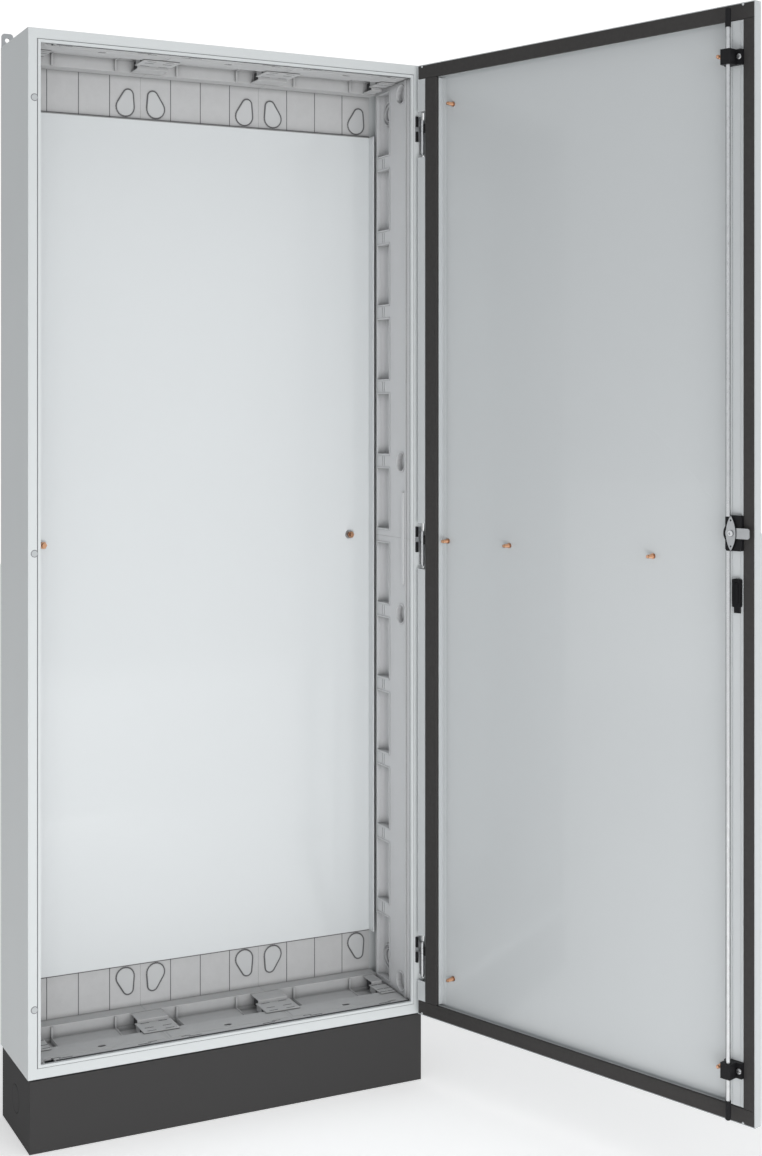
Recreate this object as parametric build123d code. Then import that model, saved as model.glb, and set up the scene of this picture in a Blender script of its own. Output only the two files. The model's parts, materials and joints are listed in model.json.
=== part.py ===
from build123d import *
import math
import os

# Floor-standing sheet-steel switchboard cabinet with one hinged door, shown with the door open.
# Millimetres, +Z up, +X to the right seen from the front, the front faces -Y.
# The origin is the middle of the plinth's underside, on the floor.

# ---- driving dimensions ----
BODY_W = 800.0          # body outside width
BODY_H = 1900.0         # body outside height
BODY_D = 205.0          # body outside depth
PLINTH_H = 135.0        # plinth height
FIELDS = 3              # fields side by side
CELLS_PER_FIELD = 4     # knock-out cells in each field
CELL_W = 62.5           # width of one cell
SHEET = 2.0             # body sheet
DOOR_OPEN = 108.4       # door angle at rest, 0 is closed

# ---- body shell ----
PLINTH_SHEET = 3.0
ANCHOR_X = 350.0        # floor anchor holes
ANCHOR_Y = 84.0
ANCHOR_R = 5.5
BOLT_X = 300.0          # bolts that hold the plinth to the floor panel
BOLT_R = 5.0
PLINTH_INSET_X = 3.0
PLINTH_INSET_Y = 2.0
PLINTH_FLANGE = 26.0
PLINTH_REVEAL = 3.5     # shadow gap between the plinth's faces and the body
FRAME_LEFT = 23.0       # widths of the front frame's four flanges
FRAME_RIGHT = 27.0
FRAME_TOP = 25.0
FRAME_LIP = 5.0         # turned-in lip, from the front face
LUG_X = 387.0           # wall lugs and the screws that hold them
LUG_HOLE_RISE = 15.0
LUG_HOLE_R = 4.5
PLUG_IN = 12.0          # plugs of the frame, from its left edge
PLUG_OFFSET = 824.0     # outer plugs from mid-height
PLUG_R = 5.0
FRAME_BEAD = 1.4        # sealing bead, proud of the front face
BEAD_W = 5.0
BEND_R = 1.0
NEAR = 0.1              # tolerance for picking edges by their place

# ---- interior ----
BAND_H = 119.0          # height of the rear entry bands
BAND_T = 2.5
BAND_CLEAR = 0.3        # behind the bands, to the rear panel
PLATE_T = 2.5           # back plate
PLATE_W = 742.0
PLATE_FACE_DEPTH = 188.5  # front frame to the plate's face
PLATE_FLANGE = 22.0
LINER_FACE = 375.0      # liner face to the cabinet's middle plane
LINER_RIB_PITCH = 154.0
LINER_RIB = 30.0
TRAY_LEDGE = 24.0       # tray heights above the body's underside
TRAY_FLOOR = 10.0
TRAY_SHELF = 34.0
TRAY_T = 2.5
GAP = 0.2               # assembly gap between neighbouring mouldings

# ---- door ----
DOOR_GAP = 2.5          # all round, against the body's outline
DOOR_SHEET = 1.5
DOOR_T = 18.0           # skin to flange edge
DOOR_CLEAR = 3.0        # flange edge to the body's front face
PIVOT_IN = 7.0          # hinge axis inside the body's right side
PIVOT_OUT = 12.0        # hinge axis in front of the body
HINGE_OFFSET = 822.0    # outer hinges from mid-height
PIN_R = 2.5
RUN = 0.05              # radial running clearance

# ---- lock ----
LOCK_X = -357.0
LOCK_RISE = 51.0        # spindle above mid-height
ROD_R = 4.0
ROD_STROKE = 20.0
GUIDE_OFFSET = 855.0    # rod guides from mid-height
ROD_REACH = 938.0       # rod tips from mid-height
SPINDLE_R = 6.0

# ---- derived places ----
FRONT = -BODY_D / 2
REAR = BODY_D / 2
HALF_W = BODY_W / 2
BOTTOM = PLINTH_H
TOP = PLINTH_H + BODY_H
MID = PLINTH_H + BODY_H / 2
FIELD_W = CELLS_PER_FIELD * CELL_W
FIELD_CENTRES = [(k - (FIELDS - 1) / 2) * FIELD_W for k in range(FIELDS)]
BOUNDARIES = [(k - FIELDS / 2) * FIELD_W for k in range(FIELDS + 1)]
PIVOT_X = HALF_W - PIVOT_IN
PIVOT_Y = FRONT - PIVOT_OUT
HINGE_Z = [MID - HINGE_OFFSET, MID, MID + HINGE_OFFSET]
DOOR_EDGE = FRONT - DOOR_CLEAR                # rear edge of the door's flanges
SKIN_OUT = DOOR_EDGE - DOOR_T
SKIN_IN = SKIN_OUT + DOOR_SHEET
DOOR_LEFT = -HALF_W + DOOR_GAP
DOOR_RIGHT = HALF_W - DOOR_GAP
DOOR_BOTTOM = BOTTOM + DOOR_GAP
DOOR_TOP = TOP - DOOR_GAP
LOCK_Z = MID + LOCK_RISE
BAND_REAR = REAR - SHEET - BAND_CLEAR

os.makedirs("parts", exist_ok=True)


# ---- helpers ----
def block(x0, x1, y0, y1, z0, z1):
    """A box between two corners, in any order."""
    size = (abs(x1 - x0), abs(y1 - y0), abs(z1 - z0))
    return Pos((x0 + x1) / 2, (y0 + y1) / 2, (z0 + z1) / 2) * Box(*size)


def rod_z(x, y, z0, z1, r):
    return Pos(x, y, (z0 + z1) / 2) * Cylinder(r, abs(z1 - z0))


def rod_y(x, z, y0, y1, r):
    return Pos(x, (y0 + y1) / 2, z) * Rot(90, 0, 0) * Cylinder(r, abs(y1 - y0))


def rod_x(y, z, x0, x1, r):
    return Pos((x0 + x1) / 2, y, z) * Rot(0, 90, 0) * Cylinder(r, abs(x1 - x0))


def round_edges(shape, axis, radius, keep=lambda edge: True):
    """Fillet the straight edges that run along one axis and pass the test."""
    edges = [e for e in shape.edges().filter_by(axis) if keep(e)]
    return fillet(edges, radius)


def mirror_x(shape):
    return mirror(shape, Plane.YZ)


def mirror_mid(shape):
    """Mirror across the body's mid-height."""
    return mirror(shape, Plane.XY.offset(MID))


def group(solids):
    return Compound(children=list(solids))


def save(name, shape):
    export_step(shape, "parts/" + name + ".step")


def to_door(shape):
    """Swing a piece, drawn with the door closed, to the door's rest angle."""
    axis = Axis((PIVOT_X, PIVOT_Y, 0), (0, 0, 1))
    return shape.rotate(axis, DOOR_OPEN)


# ---- plinth ----
def plinth():
    x = HALF_W - PLINTH_INSET_X
    y = BODY_D / 2 - PLINTH_INSET_Y
    t = PLINTH_SHEET
    bolt_head_r, bolt_head_t = 8.5, 6.4
    post_w, corner_r = 24.0, 1.5

    def is_outer_corner(edge):
        return edge.center().Y < -y + NEAR and abs(edge.center().X) > x - NEAR

    face = block(-x, x, -y, -y + t, 0, PLINTH_H - PLINTH_REVEAL)
    flange_low = block(-x + t, x - t, -y + t, -y + PLINTH_FLANGE, 0, t)
    flange_high = block(-x + t, x - t, -y + t, -y + PLINTH_FLANGE, PLINTH_H - t, PLINTH_H)
    web_x = x - t - post_w - GAP
    web = block(-web_x, web_x, -y + t, -y + 2 * t, PLINTH_H - 4 * t, PLINTH_H)
    rail = face + flange_low + flange_high + web
    for side in (-1, 1):
        rail -= rod_z(side * ANCHOR_X, -ANCHOR_Y, 0, t, ANCHOR_R)
        rail -= rod_z(side * BOLT_X, -ANCHOR_Y, PLINTH_H - t, PLINTH_H, BOLT_R + 0.5)
    rail = round_edges(rail, Axis.Z, corner_r, is_outer_corner)
    save("plinth_front", rail)
    save("plinth_rear", mirror(rail, Plane.XZ))

    cover_r, cover_z = 26.0, 67.0
    side_rail = block(-x, -x + t, -y + t, y - t, 0, PLINTH_H - PLINTH_REVEAL)
    side_rail -= rod_x(0, cover_z, -x, -x + t, cover_r)
    save("plinth_side_left", side_rail)
    save("plinth_side_right", mirror_x(side_rail))

    slit, rim, rim_t = 0.8, 3.0, 1.5
    disc = rod_x(0, cover_z, -x, -x + t, cover_r - slit)
    disc += rod_x(0, cover_z, -x + t, -x + t + rim_t, cover_r + rim)
    save("plinth_knockouts", group([disc, mirror_x(disc)]))

    posts = []
    for sx in (-1, 1):
        for sy in (-1, 1):
            x0, y0 = sx * (x - t), sy * (y - t)
            post = block(x0, x0 - sx * post_w, y0, y0 - sy * post_w, t, PLINTH_H - t)
            post -= block(x0 - sx * t, x0 - sx * post_w, y0 - sy * t, y0 - sy * post_w, t, PLINTH_H - t)
            posts.append(post)
    save("plinth_corner_posts", group(posts))

    bolts = []
    for sx in (-1, 1):
        for sy in (-1, 1):
            shank = rod_z(sx * BOLT_X, sy * ANCHOR_Y, PLINTH_H - t, BOTTOM + SHEET, BOLT_R)
            place = Pos(sx * BOLT_X, sy * ANCHOR_Y, PLINTH_H - t - bolt_head_t)
            head = place * extrude(RegularPolygon(bolt_head_r, 6), bolt_head_t)
            bolts.append(shank + head)
    save("plinth_bolts", group(bolts))


# ---- body shell ----
def shell():
    back = FRONT + SHEET        # rear side of the front frame's sheet

    def is_rear_corner(edge):
        return edge.center().Y > REAR - NEAR and edge.center().X < -HALF_W + NEAR

    side = block(-HALF_W, -HALF_W + SHEET, back, REAR, BOTTOM, TOP)
    side = round_edges(side, Axis.Z, BEND_R, is_rear_corner)
    save("side_panel_left", side)
    save("side_panel_right", mirror_x(side))

    inner = HALF_W - SHEET
    roof = block(-inner, inner, back, REAR, TOP - SHEET, TOP)
    save("roof_panel", roof)

    floor = block(-inner, inner, back, REAR, BOTTOM, BOTTOM + SHEET)
    cable_half, cable_y0, cable_y1 = 100.0, -15.0, 55.0
    for x in FIELD_CENTRES:
        floor -= block(x - cable_half, x + cable_half, cable_y0, cable_y1, BOTTOM, BOTTOM + SHEET)
    for sx in (-1, 1):
        for sy in (-1, 1):
            floor -= rod_z(sx * BOLT_X, sy * ANCHOR_Y, BOTTOM, BOTTOM + SHEET, BOLT_R + RUN)
    save("floor_panel", floor)

    rear = block(-inner, inner, REAR - SHEET, REAR, BOTTOM + SHEET, TOP - SHEET)
    save("rear_panel", rear)

    hole_x0, hole_x1 = -HALF_W + FRAME_LEFT, HALF_W - FRAME_RIGHT
    hole_z0, hole_z1 = BOTTOM + FRAME_TOP, TOP - FRAME_TOP
    frame = block(-HALF_W, HALF_W, FRONT, back, BOTTOM, TOP)
    frame = round_edges(frame, Axis.Z, BEND_R, lambda e: e.center().Y < FRONT + NEAR)

    def ring(margin, y0, y1):
        return block(hole_x0 - margin, hole_x1 + margin, y0, y1, hole_z0 - margin, hole_z1 + margin)

    lip = ring(SHEET, back, FRONT + FRAME_LIP)
    groove_w, groove_d = 1.5, 0.8
    bead = ring(BEAD_W, FRONT - FRAME_BEAD, FRONT)
    groove = ring(BEAD_W + groove_w, FRONT, FRONT + groove_d) - ring(BEAD_W, FRONT, FRONT + groove_d)
    frame = frame + lip + bead - groove - ring(0, FRONT - FRAME_BEAD, FRONT + FRAME_LIP)
    plug_x = -HALF_W + PLUG_IN
    plug_z = [MID - PLUG_OFFSET, MID, MID + PLUG_OFFSET]
    for z in plug_z:
        frame -= rod_y(plug_x, z, FRONT, back, PLUG_R + RUN)
    save("front_frame", frame)

    plugs = []
    tail, rim_t, rim_over, rim_round = 3.0, 0.8, 0.6, 0.5
    for z in plug_z:
        body = rod_y(plug_x, z, FRONT, back + tail, PLUG_R)
        rim = rod_y(plug_x, z, FRONT - rim_t, FRONT, PLUG_R + rim_over)
        rim = fillet(rim.edges().sort_by(Axis.Y)[0], rim_round)
        plugs.append(body + rim)
    save("frame_plugs", group(plugs))

    lugs = []
    lug_w, lug_rise, lug_drop, lug_t = 22.0, 28.0, 60.0, 3.0
    screw_x, screw_drop, screw_r, screw_t = 385.0, 45.0, 6.0, 3.0
    lug_round = 6.0
    for sx in (-1, 1):
        x = sx * LUG_X
        lug = block(x - lug_w / 2, x + lug_w / 2, REAR, REAR + lug_t, TOP - lug_drop, TOP + lug_rise)
        lug = round_edges(lug, Axis.Y, lug_round, lambda e: e.center().Z > TOP)
        lug -= rod_y(x, TOP + LUG_HOLE_RISE, REAR, REAR + lug_t, LUG_HOLE_R)
        lug += rod_y(sx * screw_x, TOP - screw_drop, REAR + lug_t, REAR + lug_t + screw_t, screw_r)
        lugs.append(lug)
    save("wall_lugs", group(lugs))


# ---- back plate ----
def back_plate():
    face = FRONT + PLATE_FACE_DEPTH
    x = PLATE_W / 2
    band_gap, bend_r = 1.0, 2.4
    z0, z1 = BOTTOM + BAND_H + band_gap, TOP - BAND_H - band_gap
    plate = block(-x, x, face, face + PLATE_T, z0, z1)
    for s in (-1, 1):
        plate += block(s * x, s * (x - PLATE_T), face - PLATE_FLANGE, face + PLATE_T, z0, z1)
    plate = round_edges(plate, Axis.Z, bend_r, lambda e: e.center().Y > face + PLATE_T - NEAR)
    stud_x, stud_r, stud_out = 324.0, 4.0, 15.0
    washer_r, washer_t, nut_r, nut_t = 9.0, 3.0, 7.2, 6.0
    studs, washers = [], []
    for s in (-1, 1):
        x = s * stud_x
        plate -= rod_y(x, MID, face, face + PLATE_T, stud_r + RUN)
        stud = rod_y(x, MID, face - stud_out, REAR - SHEET, stud_r)
        nut = Pos(x, face - washer_t, MID) * Rot(90, 0, 0) * extrude(RegularPolygon(nut_r, 6), nut_t)
        studs.append(stud + nut)
        bore = rod_y(x, MID, face - washer_t, face, stud_r + RUN)
        washers.append(rod_y(x, MID, face - washer_t, face, washer_r) - bore)
    save("back_plate", plate)
    save("back_plate_studs", group(studs))
    save("back_plate_washers", group(washers))


# ---- rear entry bands ----
def teardrop(toward):
    """Outline of a tear-drop knock-out; its small end leans toward one side."""
    big_r, small_r, rise, lean = 18.0, 10.0, 25.0, 6.0
    dx, dy = toward * lean, rise
    dist = math.hypot(dx, dy)
    base = math.atan2(dy, dx)
    spread = math.acos((big_r - small_r) / dist)
    a0, a1 = base - spread, base + spread

    def on(cx, cy, r, a):
        return (cx + r * math.cos(a), cy + r * math.sin(a))

    with BuildSketch() as outline:
        with BuildLine():
            ThreePointArc(on(0, 0, big_r, a1), on(0, 0, big_r, base + math.pi), on(0, 0, big_r, a0))
            Line(on(0, 0, big_r, a0), on(dx, dy, small_r, a0))
            ThreePointArc(on(dx, dy, small_r, a0), on(dx, dy, small_r, base), on(dx, dy, small_r, a1))
            Line(on(dx, dy, small_r, a1), on(0, 0, big_r, a1))
        make_face()
    return outline.sketch


def bands():
    rear = BAND_REAR
    face = rear - BAND_T
    z0, z1 = TOP - BAND_H - GAP, TOP - SHEET - GAP
    groove_w, groove_d = 1.6, 1.0
    from_edge = 25.0          # big circle's centre from the band's inner edge
    bead_t, bead_h = 1.2, 2.5
    rim_w, rim_t, disc_in, disc_t = 1.6, 1.2, 1.2, 0.6
    pieces = []
    for centre in FIELD_CENTRES:
        left = centre - FIELD_W / 2
        band = block(left + GAP, left + FIELD_W - GAP, face, rear, z0, z1)
        for k in range(1, CELLS_PER_FIELD):
            x = left + k * CELL_W
            band -= block(x - groove_w / 2, x + groove_w / 2, face, face + groove_d, z0, z1)
        band += block(left + GAP, left + FIELD_W - GAP, face - bead_t, face, z0, z0 + bead_h)
        for k, toward in ((0, -1), (CELLS_PER_FIELD - 1, 1)):
            x = left + (k + 0.5) * CELL_W
            place = Plane((x, face, z0 + from_edge), x_dir=(1, 0, 0), z_dir=(0, -1, 0))
            drop = teardrop(toward)
            rim = extrude(place * offset(drop, rim_w), rim_t) - extrude(place * drop, rim_t)
            band += rim
            band += extrude(place * offset(drop, -disc_in), disc_t)
        pieces.append(band)
    top = group(pieces)
    save("entry_band_top", top)
    save("entry_band_bottom", mirror_mid(top))


# ---- entry trays and the bridge covers over their joints ----
TRAY_FRONT = FRONT + 14.0
TRAY_STEP = FRONT + 81.0
TRAY_RISER = FRONT + 165.0
TRAY_REAR = BAND_REAR - BAND_T - 1.6


def tray(centre):
    x0, x1 = centre - FIELD_W / 2 + GAP, centre + FIELD_W / 2 - GAP
    t = TRAY_T
    base = BOTTOM + SHEET + GAP
    ledge, floor, shelf = BOTTOM + TRAY_LEDGE, BOTTOM + TRAY_FLOOR, BOTTOM + TRAY_SHELF
    shape = block(x0, x1, TRAY_FRONT, TRAY_STEP, ledge - t, ledge)
    shape += block(x0, x1, TRAY_FRONT, TRAY_FRONT + t, base, ledge)
    shape += block(x0, x1, TRAY_STEP - t, TRAY_STEP, floor - t, ledge)
    shape += block(x0, x1, TRAY_STEP - t, TRAY_RISER + t, floor - t, floor)
    shape += block(x0, x1, TRAY_RISER, TRAY_RISER + t, floor - t, shelf)
    shape += block(x0, x1, TRAY_RISER, TRAY_REAR, shelf - t, shelf)
    shape += block(x0, x1, TRAY_REAR - t, TRAY_REAR, base, shelf)
    for x in (x0, x1 - t):
        shape += block(x, x + t, TRAY_FRONT, TRAY_STEP, base, ledge)
        shape += block(x, x + t, TRAY_RISER, TRAY_REAR, base, shelf)
    # ribs on the cell lines, and the deeper pockets of the two end cells
    pilaster_half, pilaster_d, rib_half, rib_h = 2.0, 5.0, 1.5, 1.5
    pocket_near, pocket_far, pocket_in = 3.0, CELL_W - 5.0, 3.0     # from the cell line, from the step
    wall, well_floor = 1.0, 1.2
    for s in (-1, 1):
        x = centre + s * CELL_W
        y0, y1 = TRAY_RISER - pilaster_d, TRAY_RISER
        shape += block(x - pilaster_half, x + pilaster_half, y0, y1, floor, shelf - 2)
        shape += block(x - rib_half, x + rib_half, TRAY_STEP, TRAY_RISER, floor, floor + rib_h)
        near, far = x + s * pocket_near, x + s * pocket_far
        y0, y1 = TRAY_STEP + pocket_in, TRAY_RISER - pocket_in
        shape -= block(near, far, y0, y1, floor - t, floor)
        well = block(near - s * wall, far + s * wall, y0 - wall, y1 + wall, base, floor - t)
        well -= block(near, far, y0, y1, base + well_floor, floor - t)
        shape += well
    # dash slots, a shallow step along the ledge and the oval hole through it
    slot_w = 1.8
    for s in (-1, 1):
        for out, dash, inward in ((75.0, 13.0, 5.0), (92.0, 9.0, 10.0)):
            x, y = centre + s * out, TRAY_FRONT + inward
            shape -= block(x - dash, x + dash, y, y + slot_w, ledge - t, ledge)
    step_h, step_end = 0.8, 6.0
    shape += block(x0 + step_end, x1 - step_end, TRAY_FRONT + 16, TRAY_STEP - 17, ledge, ledge + step_h)
    hole = Plane.XY.offset(ledge - t) * Pos(centre, FRONT + 44) * SlotOverall(16, 9)
    shape -= extrude(hole, t + step_h)
    return shape


def bridge(x0, x1):
    """Stepped cover across the joint between two trays."""
    ledge, shelf, t = BOTTOM + TRAY_LEDGE, BOTTOM + TRAY_SHELF, 2.0
    y0, y_mid, y1 = TRAY_STEP - 14, FRONT + 124, TRAY_RISER - 1
    low, high, step_in = ledge + 1.0, shelf - 3.0, 5.0
    shape = block(x0, x1, y0, y_mid, low, low + t)
    shape += block(x0 + step_in, x1 - step_in, y_mid - t, y_mid, low, high + t)
    shape += block(x0 + step_in, x1 - step_in, y_mid - t, y1, high, high + t)
    wall_y0, wall_z0 = TRAY_STEP + 1, BOTTOM + TRAY_FLOOR + 3
    for x in (x0 + 2, x1 - 2 - t):
        shape += block(x, x + t, wall_y0, y_mid, wall_z0, low)
    # dash slots near the plate's edges
    mid, span, dash, slot_w = (x0 + x1) / 2, (x1 - x0) / 4, 9.0, 1.8
    for s in (-1, 1):
        x = mid + s * span
        for y in (y0 + 5, TRAY_STEP + 8, y_mid - 8):
            shape -= block(x - dash, x + dash, y, y + slot_w, low, low + t)
    return shape


def trays():
    half = 36.0
    notch_half, notch_y1 = 9.0, FRONT + 24.0       # clearance for the lock bolts
    for k, centre in enumerate(FIELD_CENTRES, start=1):
        low = tray(centre)
        if k == 1:
            notch_z1 = BOTTOM + 2 * TRAY_LEDGE
            low -= block(LOCK_X - notch_half, LOCK_X + notch_half, TRAY_FRONT, notch_y1, BOTTOM, notch_z1)
        save("entry_tray_bottom_%d" % k, low)
        save("entry_tray_top_%d" % k, mirror_mid(low))
    covers = []
    end_gap = 3.0
    for x in BOUNDARIES:
        x0 = max(x - half, BOUNDARIES[0] + end_gap)
        x1 = min(x + half, BOUNDARIES[-1] - end_gap)
        covers.append(bridge(x0, x1))
    low = group(covers)
    save("bridge_covers_bottom", low)
    save("bridge_covers_top", mirror_mid(low))


# ---- side liners ----
LINER_FRONT = FRONT + 10.6
LINER_REAR = FRONT + 168.0
LINER_END = BODY_H / 2 - FRAME_TOP       # from mid-height
WINDOW_FRONT = FRONT + 102.0
WINDOW_REAR = FRONT + 157.0


def liner_upper_right():
    t, depth = 2.5, 18.0
    lip_w, lip_h = 2.4, 1.4         # raised lip around each window
    x = LINER_FACE
    z0, z1 = MID + GAP, MID + LINER_END
    shape = block(x, x + t, LINER_FRONT, LINER_REAR, z0, z1)
    shape += block(x, HALF_W - SHEET - GAP, LINER_FRONT, LINER_FRONT + t, z0, z1)
    shape += block(x, HALF_W - SHEET - GAP, LINER_REAR - t, LINER_REAR, z0, z1)
    shape += block(x, HALF_W - SHEET - GAP, LINER_FRONT, LINER_REAR, z1 - t, z1)
    half_rib = LINER_RIB / 2
    rib_z = [MID + k * LINER_RIB_PITCH for k in range(6)]
    ends = [z - half_rib for z in rib_z[1:]] + [z1 - 12.0]
    for rib, end in zip(rib_z, ends):
        low, high = rib + half_rib, end
        tub = block(x, x + depth, WINDOW_FRONT - t, WINDOW_REAR + t, low - t, high + t)
        cut = block(x - lip_h, x + depth - t, WINDOW_FRONT, WINDOW_REAR, low, high)
        cut = round_edges(cut, Axis.Z, 11.0, lambda e: e.center().X > x + depth - t - 0.1)
        frame_y0, frame_y1 = WINDOW_FRONT - lip_w, WINDOW_REAR + lip_w
        lip = block(x - lip_h, x, frame_y0, frame_y1, low - lip_w, high + lip_w)
        shape = shape + tub + lip - cut
    # bead along the front edge, two groove marks in each rib
    bead_out, bead_y0, bead_y1 = 2.6, LINER_FRONT + 13, LINER_FRONT + 18
    shape += block(x - bead_out, x, bead_y0, bead_y1, z0, z1)
    mark_w, mark_d, mark_half = 2.0, 1.8, 10.0
    for rib in rib_z[1:]:
        for y in (WINDOW_FRONT + 24, WINDOW_FRONT + 33):
            shape -= block(x, x + mark_d, y, y + mark_w, rib - mark_half, rib + mark_half)
    # round recesses of the plain strip, rivet hole
    recess_y, recess_r, recess_d, rim_w = FRONT + 49.0, 18.5, 9.5, 2.0
    for z in (MID + 154, MID + 899):
        cup = rod_x(recess_y, z, x, x + recess_d + t, recess_r + t)
        cup -= rod_x(recess_y, z, x, x + recess_d, recess_r)
        rim = rod_x(recess_y, z, x - lip_h, x, recess_r + rim_w)
        rim -= rod_x(recess_y, z, x - lip_h, x, recess_r)
        shape = shape - rod_x(recess_y, z, x, x + t, recess_r) + cup + rim
    rivet_y, rivet_rise, rivet_r = FRONT + 45, 38.0, 3.2
    shape -= rod_x(rivet_y, MID + rivet_rise, x, x + t, rivet_r)
    # ring knock-out on the floor of the end window
    ring_x, ring_y, ring_z, ring_h = x + depth - t, FRONT + 130, MID + 873, 3.5
    for outer, width in ((25.5, 2.0), (17.0, 1.8)):
        ring = rod_x(ring_y, ring_z, ring_x - ring_h, ring_x, outer)
        ring -= rod_x(ring_y, ring_z, ring_x - ring_h, ring_x, outer - width)
        shape += ring
    return shape


def liners():
    upper = liner_upper_right()
    lower = mirror_mid(upper)
    save("liner_right_upper", upper)
    save("liner_right_lower", lower)
    save("liner_left_upper", mirror_x(upper))
    save("liner_left_lower", mirror_x(lower))
    bar_h, bar_out, bar_y0, bar_y1, bar_cut = 185.0, 4.4, LINER_FRONT + 19, LINER_FRONT + 30, 1.2
    x = LINER_FACE
    bar = block(x - bar_out, x, bar_y0, bar_y1, MID - bar_h / 2, MID + bar_h / 2)
    bar = chamfer(bar.edges().filter_by(Axis.Z).group_by(Axis.X)[0], bar_cut)
    save("liner_splices", group([bar, mirror_x(bar)]))


# ---- hinges ----
KNUCKLE_R = 4.0
KNUCKLE_NEAR = 5.2      # body knuckles start this far from a hinge's centre
KNUCKLE_UP = 15.0       # and end here, above and below it
KNUCKLE_DOWN = 50.0
LEAF_REACH = 10.5       # body leaf and its black blocks, inward of the pin
BLOCK_FAR = 25.2        # and their half height
ARM_HALF = 4.9          # the door's knuckle and arm, half height
ARM_REACH = 14.0        # and how far it reaches past the pin
CHEEK_HALF = 9.0
SEAT = 0.05             # clearance of the hinge parts on the door's skin


def hinges():
    x, y = PIVOT_X, PIVOT_Y
    leaf_t = 1.2
    brackets, blocks, pins, arms, door_blocks = [], [], [], [], []
    for z in HINGE_Z:
        leaf = block(x - LEAF_REACH, x + 2, FRONT - leaf_t, FRONT, z - BLOCK_FAR, z + BLOCK_FAR)
        bore = rod_z(x, y, z - KNUCKLE_DOWN, z + KNUCKLE_UP, PIN_R + RUN)
        for s, far in ((1, KNUCKLE_UP), (-1, KNUCKLE_DOWN)):
            z0, z1 = z + s * KNUCKLE_NEAR, z + s * far
            leaf += rod_z(x, y, z0, z1, KNUCKLE_R)
            leaf += block(x - 1, x + 1, y, FRONT, z0, z1)
            base = block(x - LEAF_REACH, x - 6.0, FRONT - 6.2, FRONT - leaf_t, z0, z + s * BLOCK_FAR)
            blocks.append(round_edges(base, Axis.Z, 1.0, lambda e: e.center().Y < FRONT - 6))
        brackets.append(leaf - bore)

        pin = rod_z(x, y, z - KNUCKLE_DOWN - 3, z + KNUCKLE_UP, PIN_R)
        pins.append(pin + rod_z(x, y, z + KNUCKLE_UP, z + KNUCKLE_UP + 2, PIN_R + 1.2))

        z0, z1 = z - ARM_HALF, z + ARM_HALF
        arm = rod_z(x, y, z0, z1, KNUCKLE_R)
        arm += block(x - ARM_REACH, x, y - KNUCKLE_R, y - 0.5, z0, z1)
        arm += block(x - ARM_REACH, x - 6, SKIN_IN + SEAT, y - KNUCKLE_R, z0, z1)
        arms.append(arm - bore)

        far, near, front = x - ARM_REACH - 0.5, x - 5.8, y + KNUCKLE_R
        slot_half = ARM_HALF + NEAR
        cheek = block(far, near, SKIN_IN + SEAT, front, z - CHEEK_HALF, z + CHEEK_HALF)
        cheek -= block(far - 1, near + 1, SKIN_IN, front + 1, z - slot_half, z + slot_half)
        lid = block(far, near, y, front, z - CHEEK_HALF, z + CHEEK_HALF)
        door_blocks.append(round_edges(cheek + lid, Axis.X, 1.5, lambda e: e.center().Y > front - NEAR))
    save("hinge_body_leaves", group(brackets))
    save("hinge_base_blocks", group(blocks))
    save("hinge_pins", group(pins))
    save("hinge_door_leaves", to_door(group(arms)))
    save("hinge_door_blocks", to_door(group(door_blocks)))


# ---- door ----
STIFF_TOP = DOOR_EDGE - 0.5
GASKET_FACE = DOOR_EDGE + 0.8
GASKET_T = 7.0
RETURN_Y = GASKET_FACE - GASKET_T           # front of the gasket, on the return flanges
GASKET_LOCK = 22.0
GASKET_END = 28.0
GASKET_HINGE_X0 = 345.0
GASKET_HINGE_X1 = 377.0
STRIP_IN = 377.5                            # inner edge of the hinge-side strip
STIFF_X0, STIFF_X1 = -374.0, -347.0
STUD_R, STUD_L = 3.0, 18.0
SEAM = 0.2                                  # glue line and fit clearance of the gasket
CLAMP_DROP = 106.0                          # handle clamp below the spindle


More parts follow.
